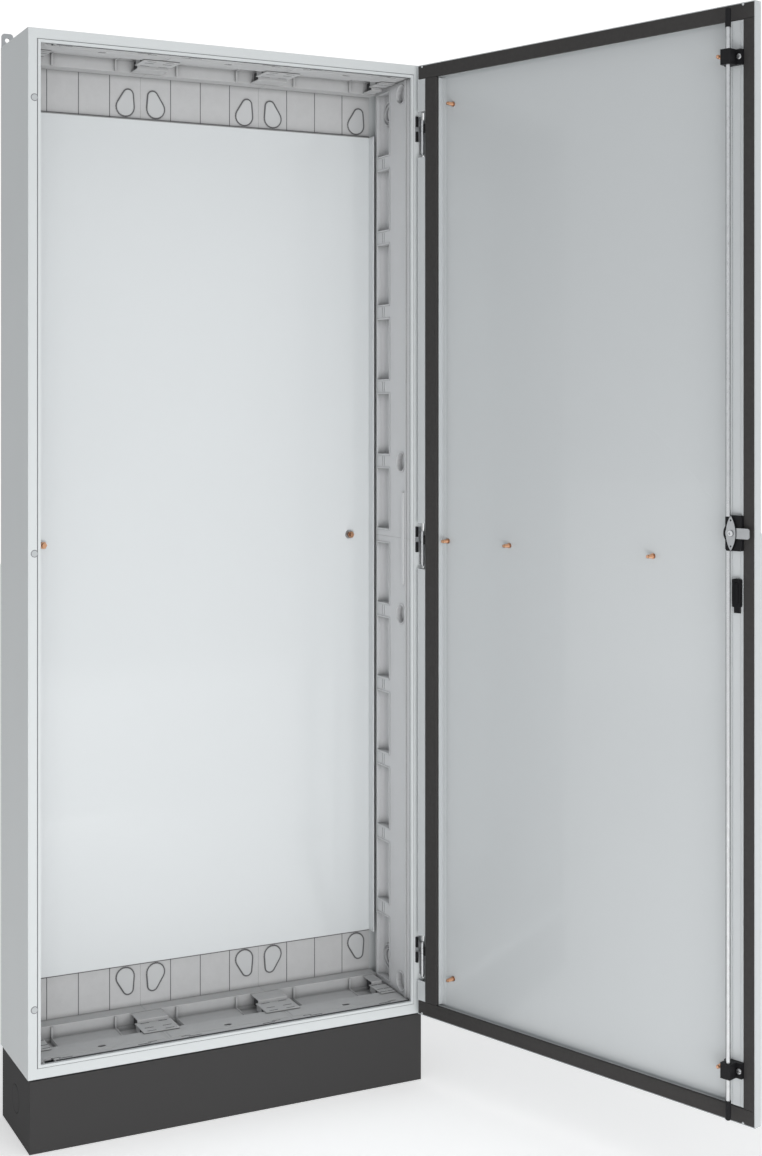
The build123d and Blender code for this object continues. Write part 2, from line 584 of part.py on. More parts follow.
def door():
    t = DOOR_SHEET
    skin = block(DOOR_LEFT, DOOR_RIGHT, SKIN_OUT, DOOR_EDGE, DOOR_BOTTOM, DOOR_TOP)
    skin = round_edges(skin, Axis.Z, BEND_R, lambda e: e.center().Y < SKIN_OUT + 0.1)
    hollow = block(DOOR_LEFT + t, DOOR_RIGHT - t, SKIN_IN, DOOR_EDGE, DOOR_BOTTOM + t, DOOR_TOP - t)
    panel = skin - hollow
    y0, y1 = RETURN_Y - t, RETURN_Y
    lock_in = DOOR_LEFT + t + GASKET_LOCK
    panel += block(DOOR_LEFT + t, lock_in, y0, y1, DOOR_BOTTOM + t, DOOR_TOP - t)
    for z0, z1 in ((DOOR_BOTTOM + t, DOOR_BOTTOM + GASKET_END), (DOOR_TOP - GASKET_END, DOOR_TOP - t)):
        panel += block(DOOR_LEFT + t, DOOR_RIGHT - t, y0, y1, z0, z1)
    z0, z1 = DOOR_BOTTOM + GASKET_END, DOOR_TOP - GASKET_END
    panel += block(STRIP_IN, DOOR_RIGHT - t, DOOR_EDGE - t, DOOR_EDGE, z0, z1)
    pocket_in, pocket_down, pocket_up = 16.0, KNUCKLE_DOWN + 8, 33.0
    for z in HINGE_Z:
        panel -= block(PIVOT_X - pocket_in, DOOR_RIGHT, SKIN_IN, DOOR_EDGE, z - pocket_down, z + pocket_up)
    panel -= rod_y(LOCK_X, LOCK_Z, SKIN_OUT, SKIN_IN, SPINDLE_R + 2)
    panel -= rod_y(LOCK_X, LOCK_Z - CLAMP_DROP, SKIN_OUT, SKIN_IN, 5.0)
    save("door_panel", to_door(panel))

    y0, y1 = RETURN_Y + SEAM, GASKET_FACE
    x0, x1 = DOOR_LEFT + t + SEAM, DOOR_RIGHT - t - SEAM
    z0, z1 = DOOR_BOTTOM + t + SEAM, DOOR_TOP - t - SEAM
    strip_z0, strip_z1 = DOOR_BOTTOM + GASKET_END, DOOR_TOP - GASKET_END
    strips = [
        block(x0, x1, y0, y1, z0, strip_z0 - SEAM),
        block(x0, x1, y0, y1, strip_z1 + SEAM, z1),
        block(x0, x0 + GASKET_LOCK - 2 * SEAM, y0, y1, strip_z0, strip_z1),
        block(GASKET_HINGE_X0, GASKET_HINGE_X1, y0, y1, strip_z0, strip_z1),
    ]
    save("door_gasket", to_door(group(strips)))

    # hat channel under the lock rods, and the one that carries the hinge-side gasket
    wall = 1.2
    z0, z1 = DOOR_BOTTOM + GASKET_END + 1, DOOR_TOP - GASKET_END - 1
    lock_hat = block(STIFF_X0, STIFF_X1, SKIN_IN, STIFF_TOP, z0, z1)
    lock_hat -= block(STIFF_X0 + wall, STIFF_X1 - wall, SKIN_IN, STIFF_TOP - wall, z0, z1)
    lock_hat += block(STIFF_X1, STIFF_X1 + 10, SKIN_IN, SKIN_IN + wall, z0, z1)
    for dx in (5.0, 22.0):
        lock_hat -= block(STIFF_X0 + dx, STIFF_X0 + dx + 1.2, STIFF_TOP - 0.6, STIFF_TOP, z0, z1)
    lock_hat -= rod_y(LOCK_X, LOCK_Z, SKIN_IN, STIFF_TOP, SPINDLE_R + 2)
    save("door_stiffener_lock", to_door(lock_hat))

    x0, x1 = GASKET_HINGE_X0, GASKET_HINGE_X1
    hinge_hat = block(x0, x1, SKIN_IN, RETURN_Y, z0, z1)
    hinge_hat -= block(x0 + wall, x1 - wall, SKIN_IN, RETURN_Y - wall, z0, z1)
    hinge_hat += block(x0 - 10, x0, SKIN_IN, SKIN_IN + wall, z0, z1)
    save("door_stiffener_hinge", to_door(hinge_hat))

    corner_z, corner_xr, corner_xl = 863.0, 316.0, -322.0
    places = [(corner_xr, MID + corner_z), (corner_xr, MID - corner_z)]
    places += [(corner_xl, MID + corner_z), (corner_xl, MID - corner_z)]
    places += [(x, MID) for x in (330.0, 168.0, -173.0)]
    studs = []
    for x, z in places:
        stud = rod_y(x, z, SKIN_IN, SKIN_IN + STUD_L, STUD_R)
        stud += rod_y(x, z, SKIN_IN, SKIN_IN + 1.5, STUD_R + 2)
        studs.append(chamfer(stud.edges().group_by(Axis.Y)[-1], 0.8))
    save("door_studs", to_door(group(studs)))


# ---- lock ----
ROD_Y = FRONT + 17.0
HOUSING_TOP = FRONT + 5.2
TONGUE_Y0, TONGUE_Y1 = FRONT + 5.6, FRONT + 7.6
CAM_Y0, CAM_Y1 = FRONT + 7.9, FRONT + 9.8
HANDLE_Y = SKIN_OUT


def over_gasket(shape):
    """Trim a foot of the lock so that it passes over the gasket."""
    return shape - block(DOOR_LEFT, STIFF_X0, STIFF_TOP, GASKET_FACE + GAP, DOOR_BOTTOM, DOOR_TOP)


def almond(length, width, z, y0, y1):
    """Pointed oval plate, long axis vertical, centred on the spindle."""
    half, bulge = length / 2, width / 2
    with BuildSketch() as outline:
        with BuildLine():
            ThreePointArc((0, -half), (bulge, 0), (0, half))
            ThreePointArc((0, half), (-bulge, 0), (0, -half))
        make_face()
    place = Plane((LOCK_X, y1, z), x_dir=(1, 0, 0), z_dir=(0, -1, 0))
    return extrude(place * outline.sketch, y1 - y0)


def lock():
    guide_x0, guide_x1 = STIFF_X0 - 2, STIFF_X1 + 6
    screw_x = STIFF_X0 + 2.5
    half_h, foot_top, tower_top = 13.0, STIFF_TOP + 9, ROD_Y + 7
    for name, z in (("rod_guide_top", MID + GUIDE_OFFSET), ("rod_guide_bottom", MID - GUIDE_OFFSET)):
        foot = block(guide_x0, guide_x1, STIFF_TOP, foot_top, z - half_h, z + half_h)
        tower = block(LOCK_X - 8, LOCK_X + 12, STIFF_TOP, tower_top, z - half_h, z + half_h)
        guide = round_edges(foot + tower, Axis.Z, 2.0, lambda e: e.center().Y > tower_top - NEAR)
        guide -= rod_z(LOCK_X, ROD_Y, z - half_h, z + half_h, ROD_R + RUN)
        save(name, to_door(over_gasket(guide)))
    screws = []
    head_r, head_t, slot_d, slot_half = 5.0, 3.0, 1.4, 0.6
    for z in (MID + GUIDE_OFFSET, MID - GUIDE_OFFSET):
        head_top = foot_top + head_t
        head = rod_y(screw_x, z, foot_top, head_top, head_r)
        head = fillet(head.edges().group_by(Axis.Y)[-1], head_t / 2)
        x0, x1 = screw_x - head_r - 1, screw_x + head_r + 1
        head -= block(x0, x1, head_top - slot_d, head_top + 1, z - slot_half, z + slot_half)
        screws.append(head)
    save("guide_screws", to_door(group(screws)))

    housing = block(LOCK_X - 19, LOCK_X + 14, STIFF_TOP, HOUSING_TOP, LOCK_Z - 30, LOCK_Z + 30)
    housing = round_edges(housing, Axis.Y, 4.0)
    housing += rod_y(LOCK_X, LOCK_Z, STIFF_TOP, HOUSING_TOP, 18.0)
    housing -= rod_y(LOCK_X, LOCK_Z, STIFF_TOP, HOUSING_TOP, SPINDLE_R + RUN)
    save("lock_housing", to_door(over_gasket(housing)))

    clamp_x, clamp_z = LOCK_X - 7, LOCK_Z - CLAMP_DROP
    clamp = block(clamp_x - 8, clamp_x + 8, STIFF_TOP, STIFF_TOP + 8, clamp_z - 19, clamp_z + 29)
    clamp = round_edges(clamp, Axis.Y, 3.0)
    clamp += block(clamp_x - 5, clamp_x + 6, STIFF_TOP, STIFF_TOP + 5, clamp_z - 29, clamp_z - 19)
    clamp += block(clamp_x - 5, clamp_x + 5, STIFF_TOP + 8, STIFF_TOP + 10, clamp_z - 12, clamp_z + 22)
    save("handle_clamp", to_door(clamp))

    # outside plate of the handle
    plate_t, plate_w = 7.0, 34.0
    x0, x1 = LOCK_X - plate_w / 2, LOCK_X + plate_w / 2
    plate = block(x0, x1, HANDLE_Y - plate_t, HANDLE_Y, LOCK_Z - 142, LOCK_Z + 34)
    plate = round_edges(plate, Axis.Y, 12.0)
    plate = chamfer(plate.faces().sort_by(Axis.Y)[0].edges(), 2.0)
    plate -= rod_y(LOCK_X, LOCK_Z, HANDLE_Y - plate_t, HANDLE_Y, SPINDLE_R + 0.6)
    save("handle_escutcheon", to_door(plate))

    # turning train: spindle, tongue, cam plate and the screw that holds them
    hub_y = HANDLE_Y - plate_t - 0.8
    hub_l, hub_r, lever_pin_r = 18.0, 13.0, 2.0
    spindle = rod_y(LOCK_X, LOCK_Z, hub_y, TONGUE_Y0, SPINDLE_R)
    spindle += rod_y(LOCK_X, LOCK_Z, hub_y - hub_l, hub_y, hub_r)
    hinge_slot_w = 14.0
    hinge_z = LOCK_Z - 4.0
    hinge_y = hub_y - 11.0
    x0, x1 = LOCK_X - hinge_slot_w / 2, LOCK_X + hinge_slot_w / 2
    spindle -= block(x0, x1, hub_y - hub_l, hub_y - 3, LOCK_Z - hub_r - 1, LOCK_Z + 5)
    spindle -= rod_x(hinge_y, hinge_z, LOCK_X - hub_r - 1, LOCK_X + hub_r + 1, lever_pin_r)
    save("spindle", to_door(spindle))

    tongue_l, tongue_half, tongue_round = 36.0, 9.0, 4.0
    z0, z1 = LOCK_Z - tongue_half, LOCK_Z + tongue_half
    tongue = block(LOCK_X - tongue_l, LOCK_X, TONGUE_Y0, TONGUE_Y1, z0, z1)
    tip_x = LOCK_X - tongue_l + tongue_round
    tongue = round_edges(tongue, Axis.Y, tongue_round, lambda e: e.center().X < tip_x)
    tongue += rod_y(LOCK_X, LOCK_Z, TONGUE_Y0, TONGUE_Y1, 12.0)
    save("lock_tongue", to_door(tongue))

    cam = almond(60.0, 19.0, LOCK_Z, CAM_Y0, CAM_Y1)
    cam += rod_y(LOCK_X, LOCK_Z, TONGUE_Y1, CAM_Y0, 10.0)
    for s in (-1, 1):
        cam -= rod_y(LOCK_X, LOCK_Z + s * 22, CAM_Y0, CAM_Y1, 1.6)
    save("cam_plate", to_door(cam))

    screw = rod_y(LOCK_X, LOCK_Z, CAM_Y1, CAM_Y1 + 2.5, 5.5)
    screw = fillet(screw.edges().group_by(Axis.Y)[-1], 1.0)
    screw -= rod_y(LOCK_X, LOCK_Z, CAM_Y1 + 1.0, CAM_Y1 + 3, 2.2)
    save("cam_screw", to_door(screw))

    # lever, hinged in the spindle's hub
    lever_pin = rod_x(hinge_y, hinge_z, LOCK_X - hub_r + 0.5, LOCK_X + hub_r - 0.5, lever_pin_r)
    save("lever_pin", to_door(lever_pin))
    grip_w, grip_y0, grip_y1 = 28.0, hub_y - 19.0, hub_y - 1.0
    grip = block(LOCK_X - grip_w / 2, LOCK_X + grip_w / 2, grip_y0, grip_y1, LOCK_Z - 138, LOCK_Z - 17)
    grip = round_edges(grip, Axis.Y, 9.0, lambda e: e.center().Z < LOCK_Z - 100)
    grip = chamfer(grip.faces().sort_by(Axis.Y)[0].edges(), 3.0)
    neck_w, neck_r = hinge_slot_w - 0.8, 4.5
    x0, x1 = LOCK_X - neck_w / 2, LOCK_X + neck_w / 2
    neck = block(x0, x1, hinge_y - neck_r, hinge_y + neck_r, hinge_z, LOCK_Z - 17)
    neck += rod_x(hinge_y, hinge_z, x0, x1, neck_r)
    key_z, key_r = LOCK_Z - 118, 9.0
    lever = grip + neck
    lever -= rod_x(hinge_y, hinge_z, LOCK_X - 10, LOCK_X + 10, lever_pin_r + RUN)
    lever -= rod_y(LOCK_X, key_z, grip_y0, grip_y0 + 12, key_r + RUN)
    save("handle_lever", to_door(lever))

    key = rod_y(LOCK_X, key_z, grip_y0 + 0.5, grip_y0 + 11.5, key_r)
    key -= rod_y(LOCK_X, key_z, grip_y0, grip_y0 + 8, 6.5)
    key += rod_y(LOCK_X, key_z, grip_y0 + 1.5, grip_y0 + 9, 2.0)
    key += block(LOCK_X - 5.2, LOCK_X + 5.2, grip_y0 + 1.5, grip_y0 + 9, key_z - 0.9, key_z + 0.9)
    save("key_insert", to_door(key))

    # rods with their tips
    near, tip_l, tip_r = 29.0, 33.0, 5.0
    for name, s in (("upper", 1), ("lower", -1)):
        z0, z1 = LOCK_Z + s * near, MID + s * (ROD_REACH - tip_l)
        rod = rod_z(LOCK_X, ROD_Y, z0, z1, ROD_R)
        save("rod_" + name, to_door(rod))
        tip = rod_z(LOCK_X, ROD_Y, z1, MID + s * ROD_REACH, tip_r)
        far = tip.edges().group_by(Axis.Z)[-1 if s > 0 else 0]
        save("rod_tip_" + name, to_door(chamfer(far, 1.8)))


plinth()
shell()
back_plate()
bands()
trays()
liners()
hinges()
door()
lock()
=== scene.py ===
import bpy
import bmesh
import json
import math
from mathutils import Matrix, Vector


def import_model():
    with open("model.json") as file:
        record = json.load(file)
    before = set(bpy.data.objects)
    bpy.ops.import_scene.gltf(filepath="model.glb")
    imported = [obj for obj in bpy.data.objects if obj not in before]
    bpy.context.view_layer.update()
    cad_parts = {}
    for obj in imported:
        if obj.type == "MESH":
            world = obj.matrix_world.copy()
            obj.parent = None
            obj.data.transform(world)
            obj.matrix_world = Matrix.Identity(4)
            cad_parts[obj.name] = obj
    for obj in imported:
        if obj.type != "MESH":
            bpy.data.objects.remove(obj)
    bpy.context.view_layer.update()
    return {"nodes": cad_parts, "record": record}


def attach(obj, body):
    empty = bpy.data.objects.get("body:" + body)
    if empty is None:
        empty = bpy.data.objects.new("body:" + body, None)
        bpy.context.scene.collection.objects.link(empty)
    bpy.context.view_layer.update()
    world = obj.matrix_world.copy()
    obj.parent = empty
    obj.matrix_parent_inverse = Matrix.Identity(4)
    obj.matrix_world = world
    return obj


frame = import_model()
NODES = frame["nodes"]

MM = 0.001

# ---- places, in millimetres, in the part's frame ----
BODY_TOP, BODY_BOTTOM, MID_Z = 2035.0, 135.0, 1085.0
BAND_FACE, BAND_H = 97.7, 119.0             # rear entry bands
BAND_CLEAR = 0.2
FIELD, CELL = 250.0, 62.5
DROP_BIG, DROP_SMALL, DROP_RISE, DROP_LEAN = 18.0, 10.0, 25.0, 6.0
FRAME_OPENING = (-377.0, 373.0)             # left and right edge of the front opening
FRAME_EDGE = 25.0                           # its distance from the body's top and underside
HINGE_AXIS = (393.0, -114.5)
DOOR_REST = 108.4                           # degrees, 0 is closed
RIB_PITCH = 154.0


# ---- camera, floor and light ----
def camera():
    """Level camera, a little above mid-height, looking from the left."""
    data = bpy.data.cameras.new("camera")
    data.sensor_width = 36.0
    data.lens = 54.19
    data.shift_x = -0.0281
    data.shift_y = -0.1452
    data.clip_start, data.clip_end = 0.1, 60.0
    cam = bpy.data.objects.new("camera", data)
    cam.location = (-1.1963, -3.2137, 1.3441)
    cam.rotation_euler = (math.radians(90), 0, math.radians(-26.848))
    bpy.context.scene.collection.objects.link(cam)
    bpy.context.scene.camera = cam


def area_light(name, place, target, size, power, mirrored=False):
    data = bpy.data.lights.new(name, "AREA")
    data.shape = "RECTANGLE"
    data.size, data.size_y = size
    data.energy = power
    lamp = bpy.data.objects.new(name, data)
    lamp.visible_glossy = mirrored
    lamp.location = place
    lamp.rotation_euler = (Vector(target) - Vector(place)).to_track_quat("-Z", "Y").to_euler()
    bpy.context.scene.collection.objects.link(lamp)


def world():
    """White surroundings for the eye, a dimmer and softer white for the light they give."""
    sky = bpy.data.worlds.new("studio")
    bpy.context.scene.world = sky
    sky.use_nodes = True
    nodes, links = sky.node_tree.nodes, sky.node_tree.links
    nodes.clear()
    out = nodes.new("ShaderNodeOutputWorld")
    seen = nodes.new("ShaderNodeBackground")
    seen.inputs["Color"].default_value = (1, 1, 1, 1)
    seen.inputs["Strength"].default_value = 1.1
    given = nodes.new("ShaderNodeBackground")
    given.inputs["Color"].default_value = (0.96, 0.98, 1, 1)
    given.inputs["Strength"].default_value = 0.28
    mirrored = nodes.new("ShaderNodeBackground")
    mirrored.inputs["Color"].default_value = (0.96, 0.98, 1, 1)
    mirrored.inputs["Strength"].default_value = 0.7
    path = nodes.new("ShaderNodeLightPath")
    glossy, camera_mix = nodes.new("ShaderNodeMixShader"), nodes.new("ShaderNodeMixShader")
    links.new(path.outputs["Is Glossy Ray"], glossy.inputs[0])
    links.new(given.outputs[0], glossy.inputs[1])
    links.new(mirrored.outputs[0], glossy.inputs[2])
    links.new(path.outputs["Is Camera Ray"], camera_mix.inputs[0])
    links.new(glossy.outputs[0], camera_mix.inputs[1])
    links.new(seen.outputs[0], camera_mix.inputs[2])
    links.new(camera_mix.outputs[0], out.inputs[0])


def floor():
    bpy.ops.mesh.primitive_plane_add(size=24, location=(0, 0, -0.0005))
    plane = bpy.context.object
    plane.name = "floor"
    mat = bpy.data.materials.new("floor_white")
    mat.use_nodes = True
    shader = mat.node_tree.nodes["Principled BSDF"]
    shader.inputs["Base Color"].default_value = (0.94, 0.94, 0.94, 1)
    shader.inputs["Roughness"].default_value = 0.9
    shader.inputs["Emission Color"].default_value = (1, 1, 1, 1)
    shader.inputs["Emission Strength"].default_value = 0.42
    plane.data.materials.append(mat)


camera()
world()
floor()
area_light("front_key", (0.2, -5.2, 1.9), (0, 0, 1.0), (4.5, 3.0), 75)
area_light("low_bounce", (-0.4, -2.2, 0.12), (0, 0.1, 1.9), (2.0, 0.9), 31)
area_light("top_fill", (0.0, -1.2, 4.6), (0, -0.2, 0), (4.0, 4.0), 30)
area_light("left_fill", (-4.6, 0.5, 0.5), (0, -0.3, 0.7), (4.0, 1.0), 4, mirrored=True)
scene = bpy.context.scene
scene.view_settings.view_transform = "Standard"
scene.view_settings.look = "None"


# ---- materials ----
class Shade:
    """A Principled material with small helpers to wire procedural detail into it."""

    def __init__(self, name, colour, roughness, metallic=0.0, coat=0.0):
        self.mat = bpy.data.materials.new(name)
        self.mat.use_nodes = True
        self.nodes, self.links = self.mat.node_tree.nodes, self.mat.node_tree.links
        self.shader = self.nodes["Principled BSDF"]
        self.colour = colour
        self.shader.inputs["Base Color"].default_value = (*colour, 1)
        self.shader.inputs["Roughness"].default_value = roughness
        self.shader.inputs["Metallic"].default_value = metallic
        self.shader.inputs["Coat Weight"].default_value = coat
        self.space = self.nodes.new("ShaderNodeTexCoord").outputs["Object"]
        self.height = None

    def noise(self, scale, detail=2.0, stretch=None, rough=0.5):
        source = self.space
        if stretch:
            mapping = self.nodes.new("ShaderNodeMapping")
            mapping.inputs["Scale"].default_value = stretch
            self.links.new(source, mapping.inputs["Vector"])
            source = mapping.outputs["Vector"]
        tex = self.nodes.new("ShaderNodeTexNoise")
        tex.inputs["Scale"].default_value = scale
        tex.inputs["Detail"].default_value = detail
        tex.inputs["Roughness"].default_value = rough
        self.links.new(source, tex.inputs["Vector"])
        return tex.outputs["Fac"]

    def cells(self, scale):
        tex = self.nodes.new("ShaderNodeTexVoronoi")
        tex.inputs["Scale"].default_value = scale
        self.links.new(self.space, tex.inputs["Vector"])
        return tex.outputs["Distance"]

    def ramp(self, value, low, high, start=0.1, end=0.9):
        """A grey value mapped to a range of numbers."""
        node = self.nodes.new("ShaderNodeMapRange")
        node.inputs["From Min"].default_value = start
        node.inputs["From Max"].default_value = end
        node.inputs["To Min"].default_value = low
        node.inputs["To Max"].default_value = high
        self.links.new(value, node.inputs["Value"])
        return node.outputs["Result"]

    def tint(self, value, dark, light):
        """Colour between two shades, driven by a grey value."""
        ramp = self.nodes.new("ShaderNodeValToRGB")
        ramp.color_ramp.elements[0].position = 0.1
        ramp.color_ramp.elements[0].color = (*dark, 1)
        ramp.color_ramp.elements[1].position = 0.9
        ramp.color_ramp.elements[1].color = (*light, 1)
        self.links.new(value, ramp.inputs["Fac"])
        self.links.new(ramp.outputs["Color"], self.shader.inputs["Base Color"])

    def paint_turned_face_shade(self, share):
        """Painted shade: multiply the colour down where the surface turns away from the eye."""
        facing = self.nodes.new("ShaderNodeLayerWeight")
        facing.inputs["Blend"].default_value = 0.5
        scale = self.ramp(facing.outputs["Facing"], 1.0, share, 0.2, 0.65)
        mix = self.nodes.new("ShaderNodeVectorMath")
        mix.operation = "SCALE"
        source = self.shader.inputs["Base Color"].links[0].from_socket
        self.links.new(source, mix.inputs[0])
        self.links.new(scale, mix.inputs["Scale"])
        self.links.new(mix.outputs[0], self.shader.inputs["Base Color"])

    def paint_hollow_shade(self, reach, share):
        """Multiply the colour down in corners and recesses: painted shade."""
        hollow = self.nodes.new("ShaderNodeAmbientOcclusion")
        hollow.samples = 8
        hollow.inputs["Distance"].default_value = reach
        scale = self.ramp(hollow.outputs["AO"], share, 1.0, 0.35, 0.95)
        mix = self.nodes.new("ShaderNodeVectorMath")
        mix.operation = "SCALE"
        source = self.shader.inputs["Base Color"].links[0].from_socket
        self.links.new(source, mix.inputs[0])
        self.links.new(scale, mix.inputs["Scale"])
        self.links.new(mix.outputs[0], self.shader.inputs["Base Color"])

    def rough(self, value, low, high):
        self.links.new(self.ramp(value, low, high), self.shader.inputs["Roughness"])

    def bump(self, value, distance, strength=1.0):
        node = self.nodes.new("ShaderNodeBump")
        node.inputs["Distance"].default_value = distance
        node.inputs["Strength"].default_value = strength
        self.links.new(value, node.inputs["Height"])
        if self.height:
            self.links.new(self.height, node.inputs["Normal"])
        self.height = node.outputs["Normal"]
        self.links.new(self.height, self.shader.inputs["Normal"])


def shades(colour, spread):
    return tuple(c * (1 - spread) for c in colour), tuple(min(1, c * (1 + spread)) for c in colour)


def powder_coat(name, colour, roughness, peel=0.00006, grain=520, coat=0.0, specular=0.5):
    """Powder-coated sheet: fine orange peel, slow drifts of tone and gloss."""
    s = Shade(name, colour, roughness, coat=coat)
    s.shader.inputs["Specular IOR Level"].default_value = specular
    s.tint(s.noise(2.2, 3), *shades(colour, 0.015))
    s.rough(s.noise(6.0, 4), roughness - 0.03, roughness + 0.04)
    s.bump(s.noise(grain, 2), peel, 0.5)
    return s.mat


def moulded(name, colour, roughness=0.5, grain=900, depth=0.00005, hollow_shade_share=0.0, specular=0.5):
    """Injection-moulded plastic with a spark-eroded grain, and optional painted shade in its recesses."""
    s = Shade(name, colour, roughness)
    s.shader.inputs["Specular IOR Level"].default_value = specular
    s.tint(s.noise(9, 3), *shades(colour, 0.03))
    if hollow_shade_share:
        s.paint_hollow_shade(0.02, hollow_shade_share)
    s.rough(s.noise(120, 3), roughness - 0.05, roughness + 0.06)
    s.bump(s.cells(grain), depth, 0.6)
    s.bump(s.noise(35, 2), 0.0003, 0.2)
    return s.mat


def foam(name, colour):
    """Foamed sealing: matt skin with small open pores."""
    s = Shade(name, colour, 0.78)
    s.tint(s.noise(160, 3), *shades(colour, 0.18))
    s.bump(s.cells(620), 0.0003, 0.5)
    s.bump(s.noise(60, 3), 0.0006, 0.35)
    return s.mat


def plated(name, colour, roughness=0.28, stretch=(900, 900, 60), edge=0.1):
    """Plated or drawn metal with fine draw lines, cloudy gloss and painted shade where it turns away from
    the eye.
    """
    s = Shade(name, colour, roughness, metallic=1.0)
    s.tint(s.noise(70, 3), *shades(colour, 0.07))
    # Painted shade on faces turned away from the eye; edge is the share of colour kept there.
    s.paint_turned_face_shade(edge)
    s.rough(s.noise(1, 3, stretch), roughness - 0.08, roughness + 0.12)
    s.bump(s.noise(1, 2, stretch), 0.00003, 0.4)
    return s.mat


def grained_plastic(name, colour):
    """Mid-grey moulding of the entry bands and trays, with a stippled face and painted shade in its
    recesses.
    """
    s = Shade(name, colour, 0.5)
    s.tint(s.noise(55, 5, rough=0.65), *shades(colour, 0.05))
    s.paint_hollow_shade(0.012, 0.55)
    s.rough(s.noise(220, 3), 0.42, 0.58)
    s.bump(s.noise(420, 4, rough=0.7), 0.0002, 0.55)
    s.bump(s.noise(95, 3, rough=0.6), 0.0009, 0.5)
    return s.mat


LOOKS = {
    "body_paint": powder_coat("body_paint", (0.63, 0.655, 0.66), 0.42),
    "plate_paint": powder_coat("plate_paint", (0.68, 0.705, 0.715), 0.16, peel=0.00001, coat=0.6),
    "door_paint": powder_coat("door_paint", (0.545, 0.568, 0.578), 0.2, peel=0.00001, coat=0.5),
    "plinth_paint": powder_coat("plinth_paint", (0.054, 0.053, 0.053), 0.75, specular=0.1),
    # The liner's colour carries painted shade in its recesses.
    "liner_plastic": moulded("liner_plastic", (0.66, 0.665, 0.675), hollow_shade_share=0.45),
    "tray_plastic": grained_plastic("tray_plastic", (0.54, 0.542, 0.545)),
    "cap_plastic": moulded("cap_plastic", (0.47, 0.49, 0.50), 0.45),
    "black_plastic": moulded("black_plastic", (0.009, 0.009, 0.01), 0.5, specular=0.2),
    "gasket_foam": foam("gasket_foam", (0.035, 0.033, 0.032)),
    "zinc_steel": plated("zinc_steel", (0.74, 0.75, 0.76)),
    "lock_metal": plated("lock_metal", (0.50, 0.51, 0.52), 0.36, (500, 500, 500)),
    "copper_stud": plated("copper_stud", (0.78, 0.43, 0.26), 0.3),
}
LUG_ZINC = plated("lug_zinc", (0.58, 0.59, 0.60), 0.45)
SLOT_OF = {part["node"]: part["material_slot"] for part in frame["record"]["subparts"]}


def dress_nodes():
    for name, obj in NODES.items():
        obj.data.materials.clear()
        obj.data.materials.append(LUG_ZINC if name == "wall_lugs" else LOOKS[SLOT_OF[name]])


def round_edges(obj, width):
    weld = obj.modifiers.new("weld", "WELD")
    weld.merge_threshold = 1e-6
    bevel = obj.modifiers.new("bevel", "BEVEL")
    bevel.width = width
    bevel.segments = 2
    bevel.limit_method = "ANGLE"
    bevel.angle_limit = math.radians(32)
    bevel.harden_normals = True
    bevel.use_clamp_overlap = True


BEVELS = {
    "front_frame": 0.7, "side_panel_left": 0.8, "side_panel_right": 0.8, "roof_panel": 0.5,
    "door_panel": 0.45, "back_plate": 0.5, "plinth_front": 0.8, "plinth_rear": 0.8,
    "plinth_side_left": 0.6, "plinth_side_right": 0.6, "frame_plugs": 0.3, "wall_lugs": 0.5,
    "entry_band_top": 0.35, "entry_band_bottom": 0.35, "bridge_covers_top": 0.5, "bridge_covers_bottom": 0.5,
    "liner_right_upper": 0.5, "liner_right_lower": 0.5, "liner_left_upper": 0.5, "liner_left_lower": 0.5,
    "liner_splices": 0.5, "door_gasket": 1.6, "door_stiffener_lock": 0.5, "door_stiffener_hinge": 0.5,
    "lock_housing": 0.8, "handle_clamp": 0.8, "rod_guide_top": 0.8, "rod_guide_bottom": 0.8,
    "hinge_base_blocks": 0.4, "hinge_door_blocks": 0.4, "cam_plate": 0.5, "lock_tongue": 0.5,
    "handle_escutcheon": 0.6, "handle_lever": 0.8, "key_insert": 0.3, "plinth_bolts": 0.6,
}
for k in (1, 2, 3):
    BEVELS["entry_tray_top_%d" % k] = BEVELS["entry_tray_bottom_%d" % k] = 0.5


dress_nodes()
for name, width in BEVELS.items():
    round_edges(NODES[name], width * MM)

# ---- detail pieces, and dark pieces of painted shade ----
def piece(name, shape, look, body="cabinet"):
    """A mesh given in millimetres, that rides on a body and takes the given material."""
    mesh = bpy.data.meshes.new(name)
    mesh.from_pydata([tuple(c * MM for c in v) for v in shape.verts], [], shape.faces)
    mesh.validate()
    mesh.update()
    work = bmesh.new()
    work.from_mesh(mesh)
    bmesh.ops.recalc_face_normals(work, faces=work.faces)
    work.to_mesh(mesh)
    work.free()
    obj = bpy.data.objects.new(name, mesh)
    bpy.context.scene.collection.objects.link(obj)
    mesh.materials.append(look)
    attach(obj, body)


